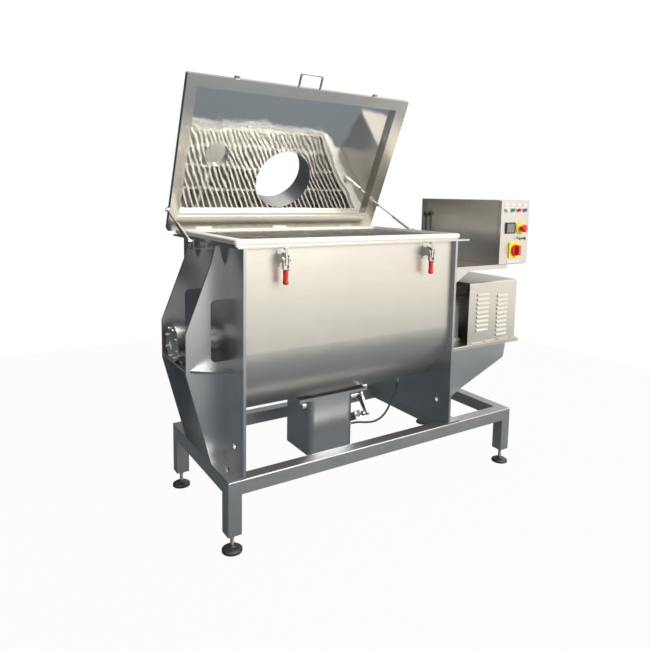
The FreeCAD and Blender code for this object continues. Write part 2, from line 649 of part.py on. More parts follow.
def panel_plates():
    """Bezels, meter and switch plates screwed to the door."""
    y = door_y0
    out = []
    for x in button_x:
        out.append(ring((x, y - 4, button_z), (0, 1, 0), button_bezel, button_r + stem_gap, 4))
        out.append(box(x - 15, x + 15, y - 1.2, y, button_z + 21, button_z + 33))
    meter = box(meter_x0, meter_x1, y - 8, y, meter_z0, meter_z1)
    meter = fillet(meter, 2.5, lambda m, d, e: m.y < y - 7.9)
    meter = meter.cut(box(meter_x0 + 6, meter_x1 - 6, y - 9, y - 6, meter_z0 + 6, meter_z1 - 6))
    out.append(meter)
    out.append(ring((estop_x, y - 3, estop_z), (0, 1, 0), estop_plate,
                    estop_stem + stem_gap, 3))
    out.append(ring((key_x, y - 4, key_z), (0, 1, 0), key_r + 5, key_r + stem_gap, 4))
    h = switch_plate / 2
    plate = prism([(switch_x - h, y - 5, switch_z - h), (switch_x + h, y - 5, switch_z - h),
                   (switch_x + h, y - 5, switch_z + h), (switch_x - h, y - 5, switch_z + h)],
                  6, (0, 5, 0))
    out.append(plate.cut(cyl((switch_x, y - 6, switch_z), (0, 1, 0),
                             switch_stem + stem_gap, 8)))
    out.append(box(label_x0, label_x1, y - label_t, y, label_z0, label_z1))
    return group(out)


def push_button(i):
    """Domed push button in its bezel."""
    y = door_y0 - 4
    prof = [(0, y - 8), (button_r - 2, y - 8), (button_r, y - 6), (button_r, y + 10),
            (0, y + 10)]
    pts = [V(button_x[i] + r, v, button_z) for r, v in prof]
    face = Part.Face(Part.makePolygon(pts + [pts[0]]))
    return face.revolve(V(button_x[i], 0, button_z), V(0, 1, 0), 360)


def estop_button():
    """Mushroom head on its stem."""
    y = door_y0 - 3
    prof = [(0, y - 33), (estop_head - 7, y - 33), (estop_head, y - 27), (estop_head, y - 19),
            (estop_head - 8, y - 14), (estop_stem, y - 12), (estop_stem, y + 9), (0, y + 9)]
    pts = [V(estop_x + r, v, estop_z) for r, v in prof]
    face = Part.Face(Part.makePolygon(pts + [pts[0]]))
    return face.revolve(V(estop_x, 0, estop_z), V(0, 1, 0), 360)


def key_switch():
    """Lock barrel with a key blade and bow."""
    y = door_y0 - 4
    s = cyl((key_x, y - 6, key_z), (0, 1, 0), key_r, 16)
    s = s.fuse(box(key_x - 1.2, key_x + 1.2, y - 14, y - 5, key_z - 4, key_z + 4))
    return s.fuse(cyl((key_x - 1.2, y - 20, key_z), (1, 0, 0), 8, 2.4))


def main_switch_knob():
    """Rotary knob with a grip bar across its face."""
    y = door_y0 - 5 - 0.4
    s = cyl((switch_x, y - 12, switch_z), (0, 1, 0), switch_knob, 12)
    s = s.fuse(cyl((switch_x, y - 1, switch_z), (0, 1, 0), switch_stem, 12))
    bar = box(switch_x - 8, switch_x + 8, y - 32, y - 11, switch_z - 26, switch_z + 26)
    bar = fillet(bar, 5.0, lambda m, d, e: abs(d.y) > 0.9)
    return s.fuse(bar)


# ------------------------------------------------------------ discharge
def flange_bolt_places():
    xm = (flange_x0 + flange_x1) / 2
    ym = (flange_y0 + flange_y1) / 2
    hx, hy = (flange_x1 - flange_x0) / 2 - 12, (flange_y1 - flange_y0) / 2 - 14
    return [(xm + i * hx, ym + j * hy) for i in (-1, 1) for j in (-1, 1)]


def discharge_flange():
    """Saddle between trough and chute: flat flange, top cut to the trough."""
    s = box(flange_x0, flange_x1, flange_y0, flange_y1, flange_z0, flange_z0 + flange_t)
    neck = box(out_x0 - 14, out_x1 + 14, mid_y - out_half - 14, mid_y + out_half + 14,
               flange_z0, flange_z0 + 40)
    s = s.fuse(neck)
    s = s.cut(cyl((flange_x0 - 5, mid_y, shaft_z), (1, 0, 0), outer_r,
                  flange_x1 - flange_x0 + 10))
    s = s.cut(box(out_x0 - 2, out_x1 + 2, mid_y - out_half - 3, mid_y + out_half + 3,
                  flange_z0 - 1, flange_z0 + 60))
    return s.removeSplitter()


def chute():
    """Discharge housing with rounded corners, open below, flap shaft bosses."""
    x0, x1, y0, y1 = chute_x0, chute_x1, chute_y0 - 28, chute_y1
    z0, z1, w, r = chute_z0, flange_z0, chute_wall, chute_round
    s = slab_xy(rect(x0, x1, y0, y1), z0, z1, r)
    s = s.cut(slab_xy(rect(x0 + w, x1 - w, y0 + w, y1 - w), z0 - 1, z1 + 1, r - w))
    flange = box(flange_x0, flange_x1, flange_y0, flange_y1, z1 - chute_lip, z1)
    flange = flange.cut(slab_xy(rect(x0 + w, x1 - w, y0 + w, y1 - w), z1 - chute_lip - 1, z1 + 1, r - w))
    s = s.fuse(flange).cut(trough_solid(outer_r))
    for a, b in ((x0 - 22, x0 + w), (x1 - w, x1 + 40)):
        s = s.fuse(cyl((a, flap_y, flap_z), (1, 0, 0), 26, b - a))
    s = s.cut(cyl((x0 - 14, flap_y, flap_z), (1, 0, 0), flap_shaft_r + running_fit,
                  x1 - x0 + 60))
    ear = slab_yz([(cyl_tail_y - 22, cyl_tail_z - 22), (cyl_tail_y + 22, cyl_tail_z - 22),
                   (cyl_tail_y + 22, cyl_tail_z + 22), (cyl_tail_y - 22, cyl_tail_z + 22)],
                  x1 - 1, x1 + 6, 8)
    s = s.fuse(ear)
    s = s.fuse(cyl((x1 + 5, cyl_tail_y, cyl_tail_z), (1, 0, 0), 7,
                   cyl_x + 14 - x1 - 5))
    return s.removeSplitter()


def discharge_flap():
    """Curved door plate on its shaft, closing the trough outlet flush inside."""
    g = flap_gap
    x0, x1 = out_x0 + g, out_x1 - g
    y0, y1 = mid_y - out_half + g, mid_y + out_half - g
    plate = trough_solid(outer_r).cut(trough_solid(trough_r))
    plate = plate.common(box(x0, x1, y0, y1, shaft_z - outer_r - 5, shaft_z - 200))
    shaft = cyl((chute_x0 - 12, flap_y, flap_z), (1, 0, 0), flap_shaft_r,
                lever_x0 + lever_t + 17 - chute_x0)
    s = plate
    for x in (x0 + 14, x1 - 24):
        rib = slab_yz([(flap_y - 11, flap_z - 10), (flap_y + 30, flap_z - 12),
                       (mid_y + 58, shaft_z - outer_r - 6), (mid_y + 58, shaft_z - 200),
                       (y0 + 3, shaft_z - 200), (y0 + 3, shaft_z - outer_r + 12),
                       (flap_y - 11, flap_z + 8)], x, x + 10)
        rib = rib.cut(cyl((x - 1, mid_y, shaft_z), (1, 0, 0), outer_r - 1, 12))
        s = s.fuse(rib)
    return s.fuse(shaft).removeSplitter()


def lever_tip():
    a = math.radians(lever_angle)
    return (flap_y + lever_len * math.cos(a), flap_z + lever_len * math.sin(a))


def flap_lever():
    """Tapered lever clamped on the flap shaft, with the clevis pin."""
    ty, tz = lever_tip()
    x0, x1 = lever_x0, lever_x0 + lever_t
    hub = cyl((x0, flap_y, flap_z), (1, 0, 0), 24, lever_t)
    end = cyl((x0, ty, tz), (1, 0, 0), 13, lever_t)
    d = V(0, ty - flap_y, tz - flap_z).normalize()
    n = V(0, -d.z, d.y)
    pts = [V(x0, flap_y, flap_z) + n * 20, V(x0, flap_y, flap_z) - n * 20,
           V(x0, ty, tz) - n * 12, V(x0, ty, tz) + n * 12]
    web = Part.Face(Part.makePolygon(pts + [pts[0]])).extrude(V(lever_t, 0, 0))
    s = hub.fuse(end).fuse(web)
    s = s.cut(cyl((x0 - 1, flap_y, flap_z), (1, 0, 0), flap_shaft_r, lever_t + 2))
    s = s.fuse(cyl((x1, ty, tz), (1, 0, 0), 8, 4))
    return s.removeSplitter()


def cylinder_line():
    """Tail pivot, unit direction towards the lever pin and their distance."""
    ty, tz = lever_tip()
    a, b = V(cyl_x, cyl_tail_y, cyl_tail_z), V(cyl_x, ty, tz)
    return a, (b - a).normalize(), (b - a).Length


def turned(profile, p, d):
    """Solid of revolution: (along, radius) profile turned about d from p."""
    pts = [V(r, 0, t) for t, r in profile]
    face = Part.Face(Part.makePolygon(pts + [pts[0]]))
    s = face.revolve(V(0, 0, 0), V(0, 0, 1), 360)
    s.Placement = FreeCAD.Placement(p, FreeCAD.Rotation(V(0, 0, 1), d))
    return s


def air_cylinder():
    """Round air cylinder: end caps, bored tube and tail eye."""
    a, d, total = cylinder_line()
    r, bore, end = cyl_r, cyl_r - 3, 20 + cyl_body
    s = turned([(16, 0), (16, r + 2), (34, r + 2), (34, r), (end - 14, r), (end - 14, r + 2),
                (end, r + 2), (end, 6 + running_fit), (end - 8, 6 + running_fit),
                (end - 8, bore), (30, bore), (30, 0)], a, d)
    s = s.fuse(Part.makeCylinder(8, 18, a, d)).fuse(cyl((cyl_x - 6, a.y, a.z), (1, 0, 0), 14, 12))
    return s.cut(cyl((cyl_x - 20, a.y, a.z), (1, 0, 0), 7 + running_fit, 40))


def air_cylinder_rod():
    """Piston rod with its piston and end eye round the lever pin."""
    a, d, total = cylinder_line()
    tip = a + d * total
    s = Part.makeCylinder(6, total - 8 - 42, a + d * 42, d)
    s = s.fuse(Part.makeCylinder(cyl_r - 3 - 0.3, 10, a + d * 36, d))
    s = s.fuse(cyl((cyl_x - 6, tip.y, tip.z), (1, 0, 0), 12, 12))
    return s.fuse(cyl((cyl_x - 10, tip.y, tip.z), (1, 0, 0), 5, lever_x0 - 0.5 - cyl_x + 10))


def air_places():
    """Hose ends: fitting on the chute side and fitting under the trough."""
    a = V(chute_x1 + 16, 272.0, 300.0)
    under = shaft_z - math.sqrt(outer_r ** 2 - (fitting_y - mid_y) ** 2)
    return a, V(fitting_x, fitting_y, under - 18)


def air_fittings():
    """Push-in fittings for the air hose, one on the chute, one on the trough."""
    a, b = air_places()
    first = cyl((chute_x1, a.y, a.z), (1, 0, 0), 8, 16)
    last = cyl((b.x, b.y, b.z), (0, 0, 1), 8, 40)
    last = last.cut(trough_solid(outer_r))
    return group([first, last])


def hose_points():
    a, b = air_places()
    return [a, (a.x + 42, a.y, a.z), (864, 262, 291), (910, 250, 290), (952, 241, 308),
            (984, 238, 343), (1008, 239, 384), (1036, 241, 416), (b.x, b.y, b.z - 34), b]


# ------------------------------------------------------------ agitator
def ribbon(r_out, width, turns, start):
    """Helical strip on edge, lofted through upright sections along the shaft."""
    x0, x1 = trough_x0 + ribbon_end_gap, trough_x1 - ribbon_end_gap - ribbon_t
    n = 28
    wires = []
    for i in range(n + 1):
        a = math.radians(start + 360 * turns * i / n)
        x = x0 + (x1 - x0) * i / n
        e = V(0, math.cos(a), math.sin(a))
        c = V(x, mid_y, shaft_z)
        pts = [c + e * (r_out - width), c + e * r_out,
               c + e * r_out + V(ribbon_t, 0, 0), c + e * (r_out - width) + V(ribbon_t, 0, 0)]
        wires.append(Part.makePolygon(pts + [pts[0]]))
    return Part.makeLoft(wires, True, True)


def outer_ribbons():
    return group([ribbon(ribbon_r, ribbon_w, 1, 0), ribbon(ribbon_r, ribbon_w, 1, 180)])


def inner_ribbons():
    return group([ribbon(inner_r_out, inner_w, -1, 90), ribbon(inner_r_out, inner_w, -1, 270)])


def agitator_shaft():
    """Solid shaft from the bearing housing to the gearbox bore."""
    x0, x1 = housing_x0 + cap_t + 14, gear_x1 - 62
    s = cyl((x0, mid_y, shaft_z), (1, 0, 0), shaft_r, x1 - x0)
    return s.makeChamfer(2.0, [e for e in s.Edges if e.Closed])


def agitator_arms(outer, inner):
    """Round spokes at each station, slotted over the ribbons they carry."""
    x0 = trough_x0 + ribbon_end_gap + ribbon_t / 2
    x1 = trough_x1 - ribbon_end_gap - ribbon_t / 2
    out = []
    core = cyl((trough_x0, mid_y, shaft_z), (1, 0, 0), shaft_r, trough_len)
    for i in range(arm_stations):
        x = x0 + (x1 - x0) * i / (arm_stations - 1)
        swing = 360.0 * i / (arm_stations - 1)
        for a, r_in, bars in ((swing, ribbon_r - ribbon_w, outer),
                              (90 - swing, inner_r_out - inner_w, inner)):
            d = V(0, math.cos(math.radians(a)), math.sin(math.radians(a)))
            for s in (1, -1):
                bar = Part.makeCylinder(arm_r, r_in + 14, V(x, mid_y, shaft_z), d * s)
                bar = bar.cut(core).cut(bars)
                out += bar.Solids
    return group(out)


# ------------------------------------------------------------ lid
def opened(shape):
    """Swing a lid piece from closed to its open rest about the hinge pins."""
    s = shape.copy()
    s.rotate(V(0, hinge_y, hinge_z), V(1, 0, 0), -lid_open)
    return s


def lid_box(u0, u1, v0, v1, n0, n1):
    return box(u0, u1, lid_back - v1, lid_back - v0, lid_z + n0, lid_z + n1)


def lid_pan():
    """Lid: box-section border round a recessed panel, rounded outer corners."""
    deep = panel_n + lid_sheet
    s = lid_box(lid_x0, lid_x1, 0, lid_len, 0, deep)
    s = fillet(s, 8.0, lambda m, d, e: abs(d.z) > 0.9)
    s = fillet(s, 4.0, lambda m, d, e: m.z > lid_z + deep - 0.01)
    well = lid_box(lid_x0 + border_l, lid_x1 - border_r, border_h, lid_len - border_f,
                   -1, panel_n)
    s = s.cut(well)
    groove = lid_box(lid_x0 + border_l - 6, lid_x1 - border_r + 6, border_h - 18,
                     border_h - 12, -1, 4)
    s = s.cut(groove)
    for x, v, r in ((collar_x, collar_v, collar_r), (port_x, port_v, port_hole)):
        s = s.cut(cyl((x, lid_back - v, lid_z + panel_n - 1), (0, 0, 1), r - collar_wall, 10))
    return opened(s)


def lid_collar():
    """Open filling collar standing on the lid with a rolled upper edge."""
    p, top = (collar_x, lid_back - collar_v, lid_z), collar_n
    n0 = panel_n + lid_sheet
    r = collar_r
    s = turned([(n0, r - collar_wall), (n0, r + 14), (n0 + 3, r + 14), (n0 + 3, r),
                (top - 6, r), (top - 6, r + 5), (top, r + 5), (top, r - collar_wall)],
               V(*p), V(0, 0, 1))
    return opened(s)


def port_collar():
    """Low inspection collar with an outer flange."""
    p, n0, r = V(port_x, lid_back - port_v, lid_z), panel_n + lid_sheet, port_hole
    s = turned([(n0, r - collar_wall), (n0, port_r), (n0 + 3, port_r), (n0 + 3, r),
                (port_n, r), (port_n, r - collar_wall)], p, V(0, 0, 1))
    return opened(s)


def port_cap():
    """Cap over the inspection collar with a turned-down edge and knob."""
    p, r = V(port_x, lid_back - port_v, lid_z), port_hole + 0.4
    n1 = port_n + lid_clear
    s = turned([(n1, 0), (n1, r), (n1 - 8, r), (n1 - 8, r + 3), (n1 + 3, r + 3),
                (n1 + 3, 12), (n1 + 14, 8), (n1 + 22, 14), (n1 + 28, 14), (n1 + 30, 11),
                (n1 + 30, 0)], p, V(0, 0, 1))
    return opened(s)


def hinge_places():
    third = (lid_x1 - lid_x0) / 6
    mid = (lid_x0 + lid_x1) / 2
    return (mid - 2.1 * third, mid, mid + 2.1 * third)


def strut_x(side):
    gap = strut_gap + strut_r
    return lid_x0 - gap if side == 0 else lid_x1 + gap


def lid_fittings():
    """Lid hinge leaves, latch keepers, strut pads and the front handle."""
    out = []
    for x in hinge_places():
        leaf = ring((x - knuckle_w / 2, hinge_y, hinge_z), (1, 0, 0), knuckle_r,
                    pin_r + pin_fit, knuckle_w)
        web = box(x - knuckle_w / 2, x + knuckle_w / 2, hinge_y + 3.9, hinge_y + knuckle_r,
                  hinge_z, lid_z)
        out.append(leaf.fuse(web).removeSplitter())
    front = lid_back - lid_len
    for x in latch_x:
        k = slab_yz([(front, lid_z + 8), (front, lid_z + 20), (front - 12, lid_z + 20),
                     (front - 12, lid_z + 4), (front - 8, lid_z + 4), (front - 8, lid_z + 14),
                     (front - 4, lid_z + 8)], x - 11, x + 11)
        out.append(k)
    for side in (0, 1):
        x = lid_x0 - 6.5 if side == 0 else lid_x1
        out.append(cyl((x, lid_back - strut_v[side], lid_z + strut_n + 7), (1, 0, 0), 11, 6.5))
    z = lid_z + 17
    path, _ = route_bend([(handle_x0, front, z), (handle_x0, front - handle_out, z),
                          (handle_x1, front - handle_out, z), (handle_x1, front, z)], 14.0)
    circle = Part.Wire(Part.makeCircle(handle_r, V(handle_x0, front, z), V(0, -1, 0)))
    out.append(path.makePipeShell([circle], True, False))
    return opened(group(out))


def route_bend(points, r):
    """Straight runs joined by bends of one radius."""
    pts = [V(*p) for p in points]
    edges, last = [], pts[0]
    for i in range(1, len(pts) - 1):
        a, p, b = pts[i - 1], pts[i], pts[i + 1]
        u, w = (a - p).normalize(), (b - p).normalize()
        half_turn = (math.pi - u.getAngle(w)) / 2
        cut = r * math.tan(half_turn)
        axis = (u + w).normalize()
        centre = p + axis * math.hypot(r, cut)
        s, e = p + u * cut, p + w * cut
        edges.append(Part.LineSegment(last, s).toShape())
        edges.append(Part.Arc(s, centre - axis * r, e).toShape())
        last = e
    edges.append(Part.LineSegment(last, pts[-1]).toShape())
    return Part.Wire(edges), r


def rim_brackets():
    """Fixed hinge leaves with pins, and the two lower strut brackets."""
    out = []
    for x in hinge_places():
        w, k = knuckle_w / 2 + 0.5, 22.0
        s = box(x - w - k, x + w + k, hinge_y - 12, hinge_y + 12, lip_z, lip_z + 4)
        for a in (x - w - k, x + w):
            s = s.fuse(cyl((a, hinge_y, hinge_z), (1, 0, 0), knuckle_r, k))
            s = s.fuse(box(a, a + k, hinge_y - knuckle_r, hinge_y + knuckle_r, lip_z, hinge_z))
        s = s.fuse(cyl((x - w - k, hinge_y, hinge_z), (1, 0, 0), pin_r, 2 * w + 2 * k))
        out.append(s.removeSplitter())
    for side in (0, 1):
        x, (y, z) = strut_x(side), strut_low[side]
        if side == 0:
            tab = box(x + 10, x + 15, y - 12, y + 12, z - 34, z + 10)
            arm = box(x + 10, plate_x0, y - 12, y + 88, z - 34, z - 28)
            wall = box(plate_x0 - 5, plate_x0, y - 12, y + 88, z - 34, z - 4)
            s = tab.fuse(arm).fuse(wall)
            s = s.fuse(cyl((x + strut_eye + 0.3, y, z), (1, 0, 0), 7, 10 - strut_eye - 0.3))
            s = s.fuse(cyl((x - strut_eye - 3, y, z), (1, 0, 0), pin_r, 20))
            s = s.fuse(cyl((x - strut_eye - 3, y, z), (1, 0, 0), 6, 2.5))
        else:
            tab = box(x + 10, x + 15, y - 12, y + 12, lip_z, z + 10)
            foot = box(x + 10, rim_right - 3, y - 24, y + 24, lip_z, lip_z + 5)
            s = tab.fuse(foot)
            s = s.fuse(cyl((x + strut_eye + 0.3, y, z), (1, 0, 0), 7, 10 - strut_eye - 0.3))
            s = s.fuse(cyl((x - strut_eye - 3, y, z), (1, 0, 0), pin_r, 20))
            s = s.fuse(cyl((x - strut_eye - 3, y, z), (1, 0, 0), 6, 2.5))
        out.append(s.removeSplitter())
    return group(out)


def strut_line(side, closed=False):
    """Lower pivot, direction and pivot distance of a gas strut."""
    x = strut_x(side)
    low = V(x, *strut_low[side])
    top = Part.Vertex(V(x, lid_back - strut_v[side], lid_z + strut_n))
    if not closed:
        top = opened(top)
    d = top.Point - low
    return low, V(d).normalize(), d.Length


def strut_tube(side):
    """Strut cylinder with its lower eye on the bracket pin."""
    low, d, _ = strut_line(side)
    s = turned([(strut_from, 0), (strut_from, strut_r - 1), (strut_from + 1, strut_r),
                (strut_to - 1, strut_r), (strut_to, strut_r - 1), (strut_to, rod_r + 0.1),
                (strut_to - 6, rod_r + 0.1), (strut_to - 6, strut_bore), (22, strut_bore),
                (22, 0)], low, d)
    s = s.fuse(Part.makeCylinder(4.5, strut_from + 2, low, d))
    s = s.fuse(cyl((low.x - strut_eye, low.y, low.z), (1, 0, 0), 9, 2 * strut_eye))
    return s.cut(cyl((low.x - 20, low.y, low.z), (1, 0, 0), pin_r + pin_fit, 40))


def strut_rod(side):
    """Strut rod with piston and end eye; its ball pin stops at the lid pad."""
    low, d, total = strut_line(side)
    s = Part.makeCylinder(rod_r, total - rod_from - 4, low + d * rod_from, d)
    s = s.fuse(Part.makeCylinder(strut_bore - 0.3, 6, low + d * rod_from, d))
    tip = low + d * total
    return s.fuse(cyl((tip.x - strut_eye, tip.y, tip.z), (1, 0, 0), 9, 2 * strut_eye))


# ------------------------------------------------------------ latches
def latch_bases():
    """Latch base plates on the front wall with ears for the handle pin."""
    out = []
    wall = mid_y - outer_r
    for x in latch_x:
        s = box(x - 18, x + 18, wall - 3, wall, latch_z - 34, latch_z + 30)
        for a in (x - 18, x + 14):
            s = s.fuse(slab_yz([(wall, latch_z - 24), (wall, latch_z + 24),
                                (latch_y - 8, latch_z + 9), (latch_y - 8, latch_z - 9)],
                               a, a + 4, [0, 0, 7, 7]))
        s = s.fuse(cyl((x - 21, latch_y, latch_z), (1, 0, 0), pin_r, 42))
        out.append(s.removeSplitter())
    return group(out)


def latch_handle(x):
    """Toggle handle: folded cheeks on the pin, bail pin and rounded grip."""
    y, z = latch_y, latch_z
    s = None
    for a in (x - 13, x + 10):
        cheek = slab_yz([(y - 8, z + 8), (y + 8, z + 8), (y + 8, z - 40), (y - 8, z - 46)],
                        a, a + 3, [6, 6, 2, 2])
        s = cheek if s is None else s.fuse(cheek)
    s = s.fuse(box(x - 13, x + 13, y - 8, y - 5.5, z - 46, z - 38))
    s = s.cut(cyl((x - 30, y, z), (1, 0, 0), pin_r + pin_fit, 60))
    s = s.fuse(cyl((x - 13, y, z - latch_throw), (1, 0, 0), 3.0, 26))
    grip = turned([(0, 0), (0, 9), (8, 11), (34, 10), (54, 12.5), (60, 9), (62, 0)],
                  V(x, y, z - 42), V(0, 0, -1))
    return s.fuse(grip).removeSplitter()


def latch_bail(x):
    """Flat bail on the handle's cross pin, hooked at its upper end."""
    y, z = latch_y, latch_z - latch_throw
    s = ring((x - 8, y, z), (1, 0, 0), 6, 3.0 + pin_fit, 16)
    bar = box(x - 5, x + 5, y - 9, y - 6, z - 3, latch_z + 46)
    bar = bar.fuse(box(x - 5, x + 5, y - 9, y - 3.6, z - 4, z + 4))
    hook = box(x - 9, x + 9, y - 9, y + 4, latch_z + 42, latch_z + 46)
    tip = box(x - 9, x + 9, y + 1, y + 4, latch_z + 36, latch_z + 46)
    s = s.fuse(bar).fuse(hook).fuse(tip)
    return s.cut(cyl((x - 30, y, z), (1, 0, 0), 3.0 + pin_fit, 60)).removeSplitter()


# ------------------------------------------------------------ assembly
def assembly():
    hose, hose_len, hose_radii = tube(hose_points(), hose_r)
    cable, cable_len, cable_radii = tube(cable_points(), cable_r)
    for name, s, length, r, radii in (("air_hose", hose, hose_len, hose_r, hose_radii),
                                      ("control_cable", cable, cable_len, cable_r,
                                       cable_radii)):
        print(name, "radii", radii, "volume", round(s.Volume), "section x length",
              round(math.pi * r * r * length))
    outer, inner = outer_ribbons(), inner_ribbons()
    nodes = {
        "base_frame": base_frame(), "levelling_feet": levelling_feet(),
        "hex_bolts": hex_bolts(),
        "end_plate_left": end_plate(plate_x0, -1), "end_plate_right": end_plate(right_x0, 1),
        "trough_shell": trough_shell(), "trough_rim": trough_rim(), "rim_seal": rim_seal(),
        "safety_grid": safety_grid(), "left_gussets": left_gussets(),
        "bearing_shelf": bearing_shelf(), "right_gussets": right_gussets(),
        "motor_tray": motor_tray(), "bearing_housing": bearing_housing(),
        "bearing_cap": bearing_cap(), "shaft_seals": shaft_seals(), "gearbox": gearbox(),
        "drive_motor": drive_motor(), "motor_cover": motor_cover(),
        "cover_screws": cover_screws(), "box_bracket": box_bracket(),
        "control_box": control_box(), "cable_gland": cable_gland(), "control_cable": cable,
        "control_door": control_door(), "panel_plates": panel_plates(),
        "button_white": push_button(0), "button_green": push_button(1),
        "button_red": push_button(2), "button_blue": push_button(3),
        "estop_button": estop_button(), "key_switch": key_switch(),
        "main_switch_knob": main_switch_knob(),
        "discharge_flange": discharge_flange(), "chute": chute(),
        "discharge_flap": discharge_flap(), "flap_lever": flap_lever(),
        "air_cylinder": air_cylinder(), "air_cylinder_rod": air_cylinder_rod(),
        "air_fittings": air_fittings(), "air_hose": hose,
        "outer_ribbons": outer, "inner_ribbons": inner, "agitator_shaft": agitator_shaft(),
        "agitator_arms": agitator_arms(outer, inner),
        "lid_pan": lid_pan(), "lid_collar": lid_collar(), "port_collar": port_collar(),
        "port_cap": port_cap(), "lid_fittings": lid_fittings(),
        "rim_brackets": rim_brackets(),
        "strut_tube_left": strut_tube(0), "strut_tube_right": strut_tube(1),
        "strut_rod_left": strut_rod(0), "strut_rod_right": strut_rod(1),
        "latch_bases": latch_bases(),
        "latch_handle_left": latch_handle(latch_x[0]),
        "latch_handle_right": latch_handle(latch_x[1]),
        "latch_bail_left": latch_bail(latch_x[0]), "latch_bail_right": latch_bail(latch_x[1]),
    }
    return nodes


def main():
    """Build every node, move the origin under the middle and write the files."""
    nodes = assembly()
    total = FreeCAD.BoundBox()
    for s in nodes.values():
        total.add(s.BoundBox)
    shift = V(-(total.XMin + total.XMax) / 2, -(total.YMin + total.YMax) / 2, -total.ZMin)
    os.makedirs("parts", exist_ok=True)
    print("overall", [round(v, 2) for v in (total.XLength, total.YLength, total.ZLength)],
          "shift", [round(v, 3) for v in shift])
    for name, s in nodes.items():
        s.translate(shift)
        s.exportStep("parts/" + name + ".step")


main()
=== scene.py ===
import math
import bpy
from mathutils import Matrix, Vector


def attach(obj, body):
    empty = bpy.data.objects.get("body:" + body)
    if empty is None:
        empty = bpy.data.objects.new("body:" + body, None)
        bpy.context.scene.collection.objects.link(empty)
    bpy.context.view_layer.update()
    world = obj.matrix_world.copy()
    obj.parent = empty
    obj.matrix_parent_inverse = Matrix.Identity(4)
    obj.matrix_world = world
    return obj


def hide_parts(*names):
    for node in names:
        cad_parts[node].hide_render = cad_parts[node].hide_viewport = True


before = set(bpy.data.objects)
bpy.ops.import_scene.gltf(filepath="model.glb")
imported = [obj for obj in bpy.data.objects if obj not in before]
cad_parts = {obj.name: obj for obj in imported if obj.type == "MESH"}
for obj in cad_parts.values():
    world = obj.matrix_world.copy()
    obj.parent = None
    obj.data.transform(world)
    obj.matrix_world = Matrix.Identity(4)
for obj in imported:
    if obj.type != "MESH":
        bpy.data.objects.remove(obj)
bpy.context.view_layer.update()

# Camera
# A 32 mm view from the front left, a little above the rim of the trough.
# Its frame is level apart from a slight roll, and shifted up the machine.
view = bpy.data.cameras.new("view")
view.lens, view.sensor_width = 32.02, 36.0
view.shift_x, view.shift_y = -0.0038, -0.0937
camera = bpy.data.objects.new("view", view)
bpy.context.collection.objects.link(camera)
camera.matrix_world = (
    Matrix.Translation((-1.6905, -2.4128, 1.438))
    @ Matrix.Rotation(math.radians(-32.71), 4, "Z")
    @ Matrix.Rotation(math.radians(90 - 6.72), 4, "X")
    @ Matrix.Rotation(math.radians(1.02), 4, "Z")
)
bpy.context.scene.camera = camera
bpy.context.scene.view_settings.view_transform = "Standard"


# Base frame
# 60 mm square stainless tube, mitred and welded, with a satin ground finish.
# It is duller and cloudier than the sheet work above it.


class Wire:
    """A node socket that adds Math nodes when it is used in an expression."""

    def __init__(self, tree, socket):
        self.tree, self.socket = tree, socket

    def math(self, operation, *values):
        return Finish.add(self.tree, "ShaderNodeMath", {"operation": operation}, *values)

    def __add__(self, other):
        return self.math("ADD", self, other)

    def __radd__(self, other):
        return self.math("ADD", other, self)

    def __sub__(self, other):
        return self.math("SUBTRACT", self, other)

    def __rsub__(self, other):
        return self.math("SUBTRACT", other, self)

    def __mul__(self, other):
        return self.math("MULTIPLY", self, other)

    def __rmul__(self, other):
        return self.math("MULTIPLY", other, self)

    def __abs__(self):
        return self.math("ABSOLUTE", self)

    def __gt__(self, other):
        return self.math("GREATER_THAN", self, other)

    def __lt__(self, other):
        return self.math("LESS_THAN", self, other)

    def clip(self):
        return self.math("MINIMUM", self.math("MAXIMUM", self, 0.0), 1.0)


